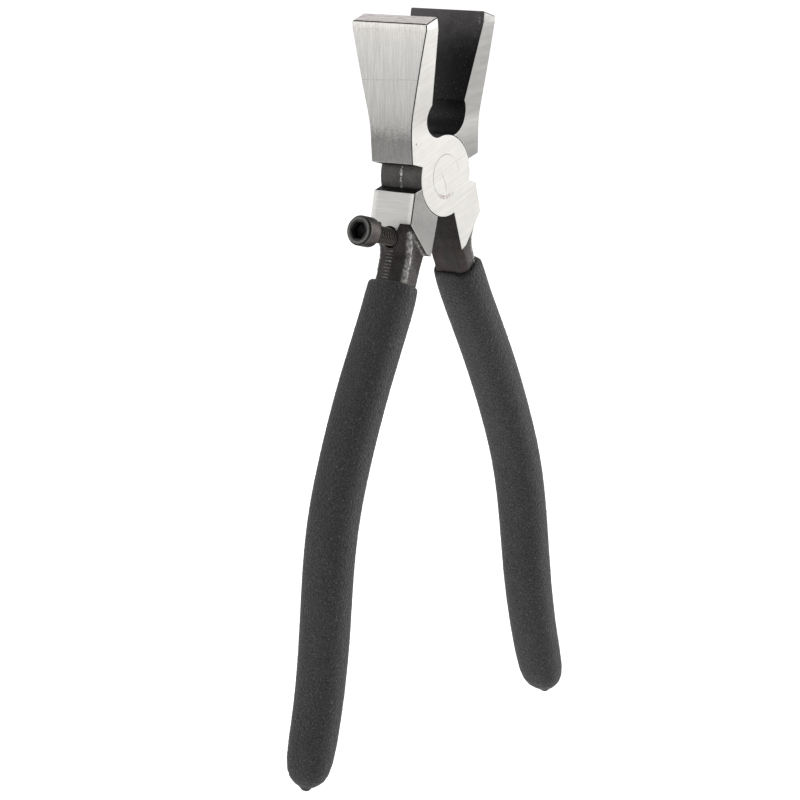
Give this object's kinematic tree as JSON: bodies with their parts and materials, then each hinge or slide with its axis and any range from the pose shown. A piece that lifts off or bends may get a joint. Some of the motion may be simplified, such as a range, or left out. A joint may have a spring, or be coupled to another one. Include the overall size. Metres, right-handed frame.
{
  "type": "running pliers",
  "caption": "Wide flat-jaw glass running pliers with a full lap joint, flush rivet, dipped foam grips and a socket head adjusting screw in one arm.",
  "frame": {"origin": "middle of the flush rivet head on the front ground face, on the pivot axis", "axes": "+Y along the pivot axis from front to rear, +Z from the pivot towards the jaw tips, X across the two handles; the halves stand symmetric about X = 0"},
  "size_m": [0.1244, 0.0257, 0.2114],
  "materials": {
    "plier_steel": "ground bright on the joint, jaw and shoulder faces, black forging skin elsewhere",
    "rivet_steel": "ground flush with the joint face",
    "black_oxide": "black oxide, slightly oily",
    "grip_foam": "matte pebbled foam vinyl dip"
  },
  "bodies": {
    "rear_half": {"rear_half": "plier_steel", "pivot_rivet": "rivet_steel", "left_grip": "grip_foam"},
    "front_half": {"front_half": "plier_steel", "right_grip": "grip_foam"},
    "adjusting_screw": {"adjusting_screw": "black_oxide"}
  },
  "joints": [
    {"name": "pivot", "type": "hinge", "parent": "rear_half", "child": "front_half", "pos_m": [0, 0, 0], "axis": [0, 1, 0], "range_deg": [-29, 27.4]},
    {"name": "screw_travel", "type": "slide", "parent": "rear_half", "child": "adjusting_screw", "axis": [0.9681, 0, -0.2504], "range_m": [-0.008, 0.0037]}
  ]
}
